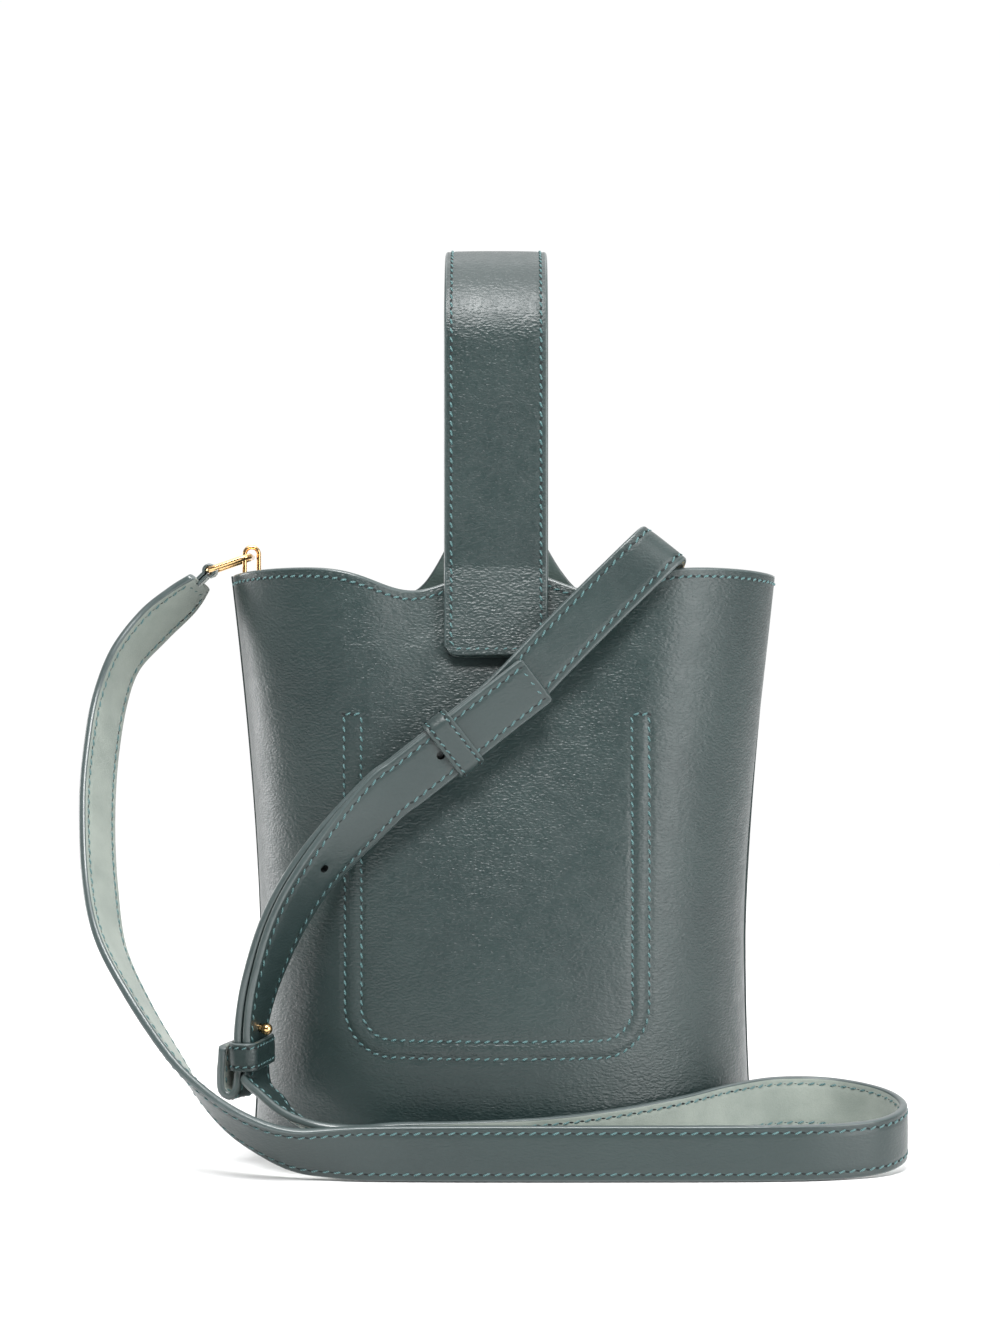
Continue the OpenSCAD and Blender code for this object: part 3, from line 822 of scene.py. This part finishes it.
def disc(name, low, top, inset, mats, body, slot, stands_for, pillow=0.0, rings=14, sides=160):
    """Closed oval plate with a rounded upper edge, swollen by pillow at its middle."""
    u = np.linspace(0, 2 * math.pi, sides, endpoint=False)
    rim = wall(u, np.zeros_like(u), inset)
    grid = []
    for k in range(rings):
        share = (k + 0.5) / rings
        grid.append(np.column_stack([rim[:, :2] * share, np.full(sides, low)]))
    for share, z in ((1.0, low + 0.15), (1.0, top - 0.4)):
        grid.append(np.column_stack([rim[:, :2] * share, np.full(sides, z)]))
    for k in range(rings, 0, -1):
        share = (k - 0.5) / rings if k < rings else 0.995
        lift = pillow * (1 - share**2)
        grid.append(np.column_stack([rim[:, :2] * share, np.full(sides, top + lift)]))
    obj = make(name, np.concatenate(grid), capped_tube(len(grid), sides), mats, body=body,
               slot=slot, stands_for=stands_for)
    flip_if_inside_out(obj)


def make_base():
    disc("base_leather", 0.0, box_mm("base_panel")[1][2], LINING_IN, [LEATHER], "root",
         "leather", ["base_panel"])
    low, high = box_mm("lining_base")
    disc("lining_base_cloth", low[2], high[2], LINING_IN + LINING_T + 0.9, [LINING], "root",
         "lining", ["lining_base"], pillow=0.6)


def make_pocket():
    """Flat pocket inside the front, made as one thin closed slab of cloth."""
    low, high = box_mm("inner_pocket")
    wall_layer("inner_pocket_cloth", 236, 304, level(low[2]), level(high[2]),
               LINING_IN + LINING_T + 0.3, 1.2, 70, 60, [LINING, LINING, LINING],
               relief=lambda x, z: 0.1 * np.sin(x / 6) * np.sin(z / 11),
               body="root", slot="lining", stands_for=["inner_pocket"], edge_r=0.5)


def u_path(half, low, top, r, n=10, n_bottom=60):
    """Outline of a U in (across, height): down one leg, round two corners and up the other."""
    pts = [(-half, z) for z in np.linspace(top, low + r, 60)]
    pts += [(-half + r - r * math.cos(a), low + r - r * math.sin(a))
            for a in np.linspace(0, math.pi / 2, n)[1:]]
    pts += [(x, low) for x in np.linspace(-half + r, half - r, n_bottom)[1:]]
    pts += [(half - r + r * math.sin(a), low + r - r * math.cos(a))
            for a in np.linspace(0, math.pi / 2, n)[1:]]
    pts += [(half, z) for z in np.linspace(low + r, top, 60)[1:]]
    return np.array(pts)


RIM_STITCH_DROP = 3.2


def make_body_stitches():
    lines = []
    for inset in (0.0, ROW_GAP):
        path = u_path(POCKET_HALF_W - inset, POCKET_LOW + inset, POCKET_TOP,
                      POCKET_CORNER_R - inset)
        lines.append(front_point(path[:, 0] + POCKET_X, path[:, 1]))
    for side in (-1, 1):
        x = POCKET_X + side * np.linspace(POCKET_HALF_W - ROW_GAP, POCKET_HALF_W, 5)
        lines.append(front_point(x, np.full_like(x, POCKET_TOP + 0.4)))
    stitches("pocket_stitching", lines, "root", slot="leather")
    lines = []
    for u0, u1, top in ((182.5, 357.5, rim_front), (2.5, 75, rim_back), (105, 177.5, rim_back)):
        u = np.radians(np.linspace(u0, u1, 400))
        x = wall(u, np.full_like(u, RIM_H), 0)[:, 0]
        z = top(x) - RIM_STITCH_DROP
        for inset, way in ((0.0, 1), (LINING_IN + FACING_T, -1)):
            p = wall(u, z, inset)
            n = wall_normal(u, z, inset)
            if way > 0:
                relief = front_relief(x, z) if u0 > 180 else back_relief(x, z)
                p = p + n * relief[:, None]
            lines.append((p, n * way))
    stitches("rim_stitching", lines, "root", slot="leather")


make_panels()
make_seams()
make_inside()
make_base()
make_pocket()
make_body_stitches()


# ---- handle
SPLIT_Z = 252.0
HANDLE_STITCH_IN, HANDLE_STITCH_SINK = 2.6, 0.1
PATCH_CORNER_R = 6.0
HANDLE_PROFILE = strap_profile(HANDLE_W, HANDLE_T, HANDLE_STITCH_IN, 0.9, groove=0.28,
                               crown=0.25, n_face=26)
ACROSS = (1, 0, 0)
PATCH_FREE_ABOVE, PATCH_FREE_OVER = 4, 14


def handle_line(z0, z1, y_at, step=1.2):
    z = np.arange(z0, z1 + step / 2, step)
    z[-1] = z1
    return np.column_stack([np.full_like(z, HANDLE_X), y_at(z), z])


def patch_y(z):
    """Middle of the handle's thickness where it lies on the front panel, and above it."""
    on_panel = -(wall_y(HANDLE_X, np.minimum(z, RIM_H)) + LAYER_GAP + HANDLE_T / 2)
    return np.where(z < RIM_H, on_panel, FRONT_LEG_Y)


def arch_line(z_from):
    """Near leg above z_from, over the half-round top and down the far leg to z_from."""
    a = np.radians(np.linspace(180, 0, 61))
    up = handle_line(z_from, ARCH_Z, lambda z: np.full_like(z, FRONT_LEG_Y))[:-1]
    top = np.column_stack([np.full_like(a, HANDLE_X), ARCH_Y + ARCH_R * np.cos(a),
                           ARCH_Z + ARCH_R * np.sin(a)])
    down = handle_line(z_from, ARCH_Z, lambda z: np.full_like(z, BACK_LEG_Y))[::-1][1:]
    return np.concatenate([up, top, down])


def patch_bend(x, z):
    """How far the patch bends back with the panel it is sewn to, fading out at the rim."""
    fade = np.clip((RIM_H + PATCH_FREE_ABOVE - z) / PATCH_FREE_OVER, 0, 1)
    return (wall_y(HANDLE_X, z) - wall_y(x, z)) * fade * fade * (3 - 2 * fade)


def patch_stitch_line(route, height):
    """Down one side, round the bottom and up the other, inside the patch's edge."""
    path = u_path(HANDLE_W / 2 - HANDLE_STITCH_IN, HANDLE_STITCH_IN, route.length,
                  PATCH_CORNER_R - HANDLE_STITCH_IN, n=7, n_bottom=30)
    p, n = route.on_face(path[:, 1], path[:, 0], np.full(len(path), -height))
    return p, -n


def handle_rows(route, s0, s1, inner=True, outer=True):
    """Stitch rows near both edges, on one or both faces."""
    s = np.linspace(s0, s1, max(int((s1 - s0) / 2), 8))
    lines = []
    for side in (-1, 1):
        x = np.full_like(s, side * (HANDLE_W / 2 - HANDLE_STITCH_IN))
        for show, way in ((outer, -1), (inner, 1)):
            if show:
                p, n = route.on_face(s, x, np.full_like(x, way * (HANDLE_T / 2 - HANDLE_STITCH_SINK)))
                lines.append((p, way * n))
    return lines


def make_handle():
    base = Route(handle_line(PATCH_BOTTOM, SPLIT_Z, patch_y), ACROSS)

    def follow_panel(verts):
        verts[..., 1] += patch_bend(verts[..., 0], verts[..., 2])
        return verts

    obj = strap("handle_base", base, HANDLE_PROFILE, SKINS, step=1.0,
                corner_r=(PATCH_CORNER_R, 0), shape=follow_panel, slot="leather",
                stands_for=["handle_patch", "handle_front_leg"])
    rim_s = float(np.interp(RIM_H, base.p[:, 2], base.s))
    p, n = patch_stitch_line(base, HANDLE_T / 2 - HANDLE_STITCH_SINK)
    p[:, 1] += patch_bend(p[:, 0], p[:, 2])
    lines = [(p, n)]
    lines += handle_rows(base, rim_s + 4, base.length, outer=False)
    thread = stitches("handle_base_stitching", lines, slot="leather")
    for piece in (obj, thread):
        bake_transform(piece)
    full = Route(arch_line(SPLIT_Z), ACROSS)
    middle = full.length / 2
    for name, s0, s1, lower, y, nodes in (
            ("handle_near", 0.0, middle, "handle_front", FRONT_LEG_Y, ["handle_top"]),
            ("handle_far", middle, full.length, "handle_back", BACK_LEG_Y, [])):
        obj = strap(name, full, HANDLE_PROFILE, SKINS, start=s0, end=s1, slot="leather",
                    stands_for=nodes)
        thread = stitches(name + "_stitching", handle_rows(full, s0, s1),
                          slot="leather")
        for piece in (obj, thread):
            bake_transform(piece)
    low_end = NECK_TOP + 2.0
    low = Route(handle_line(low_end, SPLIT_Z, lambda z: np.full_like(z, BACK_LEG_Y))[::-1],
                ACROSS)
    strap("handle_far_root", low, HANDLE_PROFILE, SKINS, body="handle_back",
          slot="leather", stands_for=["handle_back_leg"])
    stitches("handle_far_root_stitching", handle_rows(low, 0, low.length - 2),
             "handle_back", slot="leather")


make_handle()


# ---- shoulder strap
STRAP_W, STRAP_T = 19.0, 3.0
STRAP_PITCH = STRAP_T + LAYER_GAP
STRAP_STITCH_IN = 2.6
STRAP_HOLE_R = 1.5
STRAP_STITCH_SINK = 0.2
SHARED_RUN = [
    (-86.2, -54, 39.5, 0.28, 0.95, -0.05), (-86.3, -54.6, 48.4, 0.28, 0.95, -0.05),
    (-82.6, -57, 65, 0.41, 0.9, -0.11), (-74.6, -59.3, 85.8, 0.56, 0.78, -0.25),
    (-62.6, -61.5, 104.7, 0.585, 0.66, -0.465), (-42, -62, 127.7, 0.59, 0.26, -0.765),
    (-34, -61.5, 134, 0.6, 0.21, -0.77), (-18.67, -60.37, 146, 0.6, 0.21, -0.77),
    (-3.33, -59.23, 158, 0.6, 0.21, -0.77), (12, -58.1, 170, 0.6, 0.21, -0.77),
]
ON_EDGE = (0, 0, -1)
FLOOR_LOOP = (
    (-10, -88, 9.5), (40, -88, 9.5), (90, -87, 9.5), (115, -83, 9.6), (131, -75, 10.6),
    (139, -60, 13), (134, -42, 15.8), (118, -29, 17.6), (98, -29, 18), (80, -41, 17),
    (62, -55.5, 14.8), (40, -66, 12.2), (15, -74, 10.3), (-15, -79, 9.6),
)
LONG_ARC = [
    (-111, 0, 205.6, 0.2, 0.96, -0.2), (-118, 0, 198.5, 0.4, 0.82, -0.4),
    (-128, -1, 189.5, 0.46, 0.76, -0.46), (-138, -5, 177, 0.42, 0.85, -0.3),
    (-143, -10, 162, 0.46, 0.88, -0.1), (-145, -19, 144, 0.44, 0.9, 0),
    (-145, -30, 124, 0.44, 0.9, 0), (-142.5, -43, 100, 0.42, 0.9, -0.05),
    (-137, -58, 79, 0.38, 0.86, -0.25), (-126, -70, 60, 0.33, 0.88, -0.33),
    (-112.3, -79, 40.8, 0.23, 0.91, -0.35), (-102.8, -83, 29.6, 0.05, 0.92, -0.45),
    (-92, -85.5, 20.4, -0.05, 0.83, -0.58), (-80, -87, 13.9, -0.05, 0.72, -0.7),
    (-69, -87.7, 10.5, -0.05, 0.55, -0.83), (-57.7, -88, 9.9, 0, 0.35, -0.93),
    (-44, -88, 9.6, 0, 0.12, -1),
    *[(*place, *ON_EDGE) for place in FLOOR_LOOP],
    (-35, -79.8, 10, 0, 0.25, -0.95), (-48, -79.3, 10.8, 0.05, 0.6, -0.8),
    (-60, -77, 13.8, 0.1, 0.85, -0.5), (-67.5, -73.5, 16.8, 0.12, 0.95, -0.28),
    (-74.5, -69, 20.3, 0.15, 0.97, -0.2), (-80.3, -63.5, 24.5, 0.2, 0.97, -0.15),
    (-85.1, -56, 28.5, 0.27, 0.96, -0.07), (-86.15, -53.7, 33.5, 0.28, 0.95, -0.05),
]
SHORT_TOP = [
    (70.4, 0, 193.3, 0, 1, 0), (66, 0, 193.4, 0, 0.97, 0.24),
    (60.5, -0.6, 194, 0, 0.8, 0.6), (55, -3.4, 195.6, 0, 0.38, 0.92),
    (51.6, -9, 198.3, -0.1, 0.05, 1), (51.6, -16.5, 202, -0.25, 0, 0.97),
    (53.4, -24.5, 207, -0.48, 0, 0.87), (55.6, -32, 212.2, -0.68, 0.05, 0.73),
    (57, -39, 216.4, -0.77, 0.07, 0.63), (55, -45.8, 216.4, -0.79, 0, 0.61),
    (50, -49, 211.8, -0.74, 0, 0.67), (43, -50, 205, -0.71, -0.03, 0.7),
    (31, -51.2, 193.2, -0.7, -0.08, 0.71), (17.5, -52.8, 179.6, -0.69, -0.12, 0.71),
    (6, -54.7, 167.6, -0.65, -0.18, 0.73),
]
TAIL_WIDE = (-0.28, -0.95, 0.05)
SHORT_TAIL = [(*place, *TAIL_WIDE) for place in (
    (-89.6, -52.7, 33), (-90.1, -52.6, 28.5), (-90.7, -52.6, 26.1), (-92.9, -52.2, 24.6),
    (-95.1, -51.6, 26.1), (-95.7, -51.4, 28.5), (-95.7, -51.6, 33), (-95.3, -51.9, 38),
    (-94.9, -52.2, 43))]
KEEPER_STATION, STUD_STATION, HOLE_STATIONS = 7.1, 1, (4, 6.8)
SHARED = Route.from_stations(SHARED_RUN)


def shared_length(station, per=24):
    """Length along the shared run at a station."""
    return float(np.interp(station * per, np.arange(len(SHARED.s)), SHARED.s))


def shared_frame(station):
    """Centre, direction, width direction and inward normal of the run at a station."""
    return [v[0] for v in SHARED.at([shared_length(station)])]


def under(station):
    """Station of the short strap that lies under the long one, running the other way."""
    p, t, w, n = shared_frame(station)
    return (*(p + n * STRAP_PITCH), *(-w))


LONG = Route.from_stations(LONG_ARC + SHARED_RUN)
SHORT = Route.from_stations(
    SHORT_TOP + [under(i) for i in range(len(SHARED_RUN) - 2, -1, -1)] + SHORT_TAIL)
# the fourth strap material is the near-black painted shade of the punched holes
STRAP_MATS = [STRAP_LEATHER, EDGE, INNER, HOLE_SHADE]
STRAP_PROFILE = strap_profile(STRAP_W, STRAP_T, STRAP_STITCH_IN, 0.75, n_face=20)
TIP_R = 2.6


def strap_rows(route, s0, s1, ends=(False, False)):
    """Stitch rows near both edges of both faces, closed across a cut end where asked."""
    s = np.linspace(s0, s1, int((s1 - s0) / 1.5))
    half = STRAP_W / 2 - STRAP_STITCH_IN
    lines = []
    for way in (-1, 1):
        lift = way * (STRAP_T / 2 - STRAP_STITCH_SINK)
        for side in (-1, 1):
            p, n = route.on_face(s, np.full_like(s, side * half), np.full_like(s, lift))
            lines.append((p, way * n))
        for wanted, at in zip(ends, (s0, s1)):
            if wanted:
                x = np.linspace(-half + 1, half - 1, 9)
                p, n = route.on_face(np.full_like(x, at), x, np.full_like(x, lift))
                lines.append((p, way * n))
    return lines


def punch(obj, centre, axis, radius, depth):
    """Cuts a round hole through a strap; its wall takes the near-black painted shade material."""
    turn = np.linspace(0, 2 * math.pi, 32, endpoint=False)
    side = unit(np.cross(axis, (0, 0, 1)))
    up = np.cross(axis, side)
    ring = centre + (side * np.cos(turn)[:, None] + up * np.sin(turn)[:, None]) * radius
    verts = np.concatenate([ring - axis * depth, ring + axis * depth])
    faces = capped_tube(2, len(turn))
    tool = make("hole_cutter", verts, faces, STRAP_MATS, index=[3] * len(faces))
    flip_if_inside_out(tool)
    cut = obj.modifiers.new("punch", "BOOLEAN")
    cut.operation, cut.solver, cut.object = "DIFFERENCE", "EXACT", tool
    mesh = bpy.data.meshes.new_from_object(obj.evaluated_get(
        bpy.context.evaluated_depsgraph_get()))
    obj.modifiers.clear()
    obj.data = mesh
    bpy.data.objects.remove(tool)
    mesh.set_sharp_from_angle(angle=math.radians(SHARP_DEG))


def dimples(places):
    """Draws the strap's faces in a little round each punched hole."""
    def shape(verts):
        for centre, axis in places:
            away = verts - centre
            depth = (away * axis).sum(-1, keepdims=True)
            far = np.linalg.norm(away - depth * axis, axis=-1, keepdims=True)
            near = np.linalg.norm(away, axis=-1, keepdims=True) < 3 * STRAP_HOLE_R
            pull = 0.3 * np.exp(-((far / (1.5 * STRAP_HOLE_R)) ** 2)) * near
            verts = verts - np.sign(depth) * axis * pull
        return verts
    return shape


def make_strap(name, route, holes):
    places = []
    for station, offset in holes:
        p, t, w, n = shared_frame(station)
        places.append((p + n * offset, n))
    obj = strap(name + "_leather", route, STRAP_PROFILE, STRAP_MATS, corner_r=(2.0, TIP_R),
                shape=dimples(places), body="root", slot="leather", stands_for=[name])
    for centre, axis in places:
        punch(obj, centre, axis, STRAP_HOLE_R, STRAP_T)
    stitches(name + "_stitching",
             strap_rows(route, 4.0, route.length - STRAP_STITCH_IN, (True, True)), "root",
             pitch=3.9, radius=0.34, slot="leather")


LOOP_W, LOOP_T, TAIL_LEN, RING_WIRE_R = 10.6, 1.5, 5.0, 1.0


def make_strap_loop(node, ring, tail_angle):
    """Leather that wraps the ring's bar and closes into a tail between the strap's layers."""
    low, high = box_mm(ring)
    bar = np.array([low[0] + RING_WIRE_R, 0, low[2] + RING_WIRE_R])
    r = RING_WIRE_R + 0.15 + LOOP_T / 2
    turn = np.radians(tail_angle + np.linspace(24, 336, 40))
    loop = np.column_stack([r * np.cos(turn), np.zeros(40), -r * np.sin(turn)])
    tail = np.array([math.cos(math.radians(tail_angle)), 0, -math.sin(math.radians(tail_angle))])
    share = np.linspace(0, 1, 8)[:-1, None]
    start, end = loop[0] + tail * TAIL_LEN, loop[-1] + tail * TAIL_LEN
    path = np.concatenate([start + (loop[0] - start) * share, loop,
                           end + (loop[-1] - end) * share[::-1]])
    strap(node + "_leather", Route(bar + path, (0, 1, 0)),
          strap_profile(LOOP_W, LOOP_T, 1.6, 0.5, groove=0.15, crown=0.05, n_face=12),
          STRAP_MATS, step=0.6, body="root", slot="leather", stands_for=[node])


make_strap("strap_long", LONG, [(station, 0.0) for station in (STUD_STATION, *HOLE_STATIONS)])
make_strap("strap_short", SHORT, [(STUD_STATION, STRAP_PITCH)])
make_strap_loop("strap_loop_left", "ring_left", 135)
make_strap_loop("strap_loop_right", "ring_right", 180)


# ---- keepers
KEEPER_W, KEEPER_D = STRAP_W + 0.8, 2 * STRAP_T + LAYER_GAP + 0.8
KEEPER_H, KEEPER_T = 10.0, 1.5
KEEPER_POINTS, KEEPER_CORNER_R, KEEPER_STITCH_IN = 132, 2.8, 1.7


def keeper_path(bulge, n=14):
    """Rounded rectangle round both straps: (across, height) points of the band's middle."""
    half_x, half_y, r = (KEEPER_W + KEEPER_T) / 2, (KEEPER_D + KEEPER_T) / 2, KEEPER_CORNER_R
    pts = []
    for cx, cy, a0 in ((1, 1, 0), (-1, 1, 90), (-1, -1, 180), (1, -1, 270)):
        for d in np.linspace(a0, a0 + 90, n):
            pts.append((cx * (half_x - r) + r * math.cos(math.radians(d)),
                        cy * (half_y - r) + r * math.sin(math.radians(d))))
    pts = np.array(pts)
    pts[:, 1] *= 1 + bulge * (1 - (pts[:, 0] / half_x) ** 2)
    return pts


def make_keeper(name, station, body, bulge):
    p, t, w, n = shared_frame(station)
    centre = p + n * STRAP_PITCH / 2
    flat = keeper_path(bulge)
    pts = np.concatenate([flat, flat[:1]])
    s = lengths_along(pts)
    even = np.linspace(0, s[-1], KEEPER_POINTS + 1)[:-1]
    loop = sample(pts, s, even)
    ahead = np.roll(loop, -1, 0) - np.roll(loop, 1, 0)
    out2 = unit(np.column_stack([ahead[:, 1], -ahead[:, 0]]))
    half, h, edge_r = KEEPER_H / 2, KEEPER_T / 2, 0.5
    groove_at = half - KEEPER_STITCH_IN
    a = np.linspace(-half + edge_r, half - edge_r, 17)
    top = h - 0.2 * np.exp(-(((np.abs(a) - groove_at) / 0.5) ** 2)) + 0.1 * (1 - (a / half) ** 2)
    profile = [(x, y, 0) for x, y in zip(a, top)]
    arc = np.radians(np.linspace(90, -90, 8)[1:-1])
    profile += [(half - edge_r + edge_r * math.cos(d), (h - 0.1) * math.sin(d), 1) for d in arc]
    profile += [(x, -h, 2) for x in a[::-1]]
    profile += [(-half + edge_r - edge_r * math.cos(d), (h - 0.1) * math.sin(d), 1)
                for d in arc[::-1]]

    def place(along_run, outward):
        xy = loop[:, None] + out2[:, None] * outward[None, :, None]
        return (centre + w * xy[..., 0:1] + n * xy[..., 1:2] + t * along_run[None, :, None])

    along_run = np.array([r[0] for r in profile])
    verts = place(along_run, np.array([r[1] for r in profile]))
    faces = tube_faces(len(loop), len(profile), True, True)
    index = side_kinds(profile, faces)
    obj = make(name, verts.reshape(-1, 3), faces, STRAP_MATS, body=body, index=index,
               slot="leather", stands_for=[name.replace("_leather", "")])
    flip_if_inside_out(obj)
    lines = []
    normal = w * out2[:, 0:1] + n * out2[:, 1:2]
    for side in (-1, 1):
        row = place(np.array([side * groove_at]), np.array([h - 0.08]))[:, 0]
        lines.append((np.concatenate([row, row[:1]]), np.concatenate([normal, normal[:1]])))
    stitches(name.replace("leather", "stitching"), lines, body, pitch=2.9, radius=0.27,
             slot="leather")


make_keeper("keeper_upper_leather", KEEPER_STATION, "keeper_slider", 0.0)
make_keeper("keeper_lower_leather", 0, "root", 0.12)


# ---- kept solids
KEPT_SOLIDS = (
    (GOLD, ("ring_left", "ring_right", "link_left", "link_right", "stud_ball", "stud_screw")),
    (FACING, ("anchor_tab_left", "anchor_tab_right")),
    (BOARD, ("base_board",)),
)
for material, nodes in KEPT_SOLIDS:
    for node in nodes:
        for material_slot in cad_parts[node].material_slots:
            material_slot.material = material
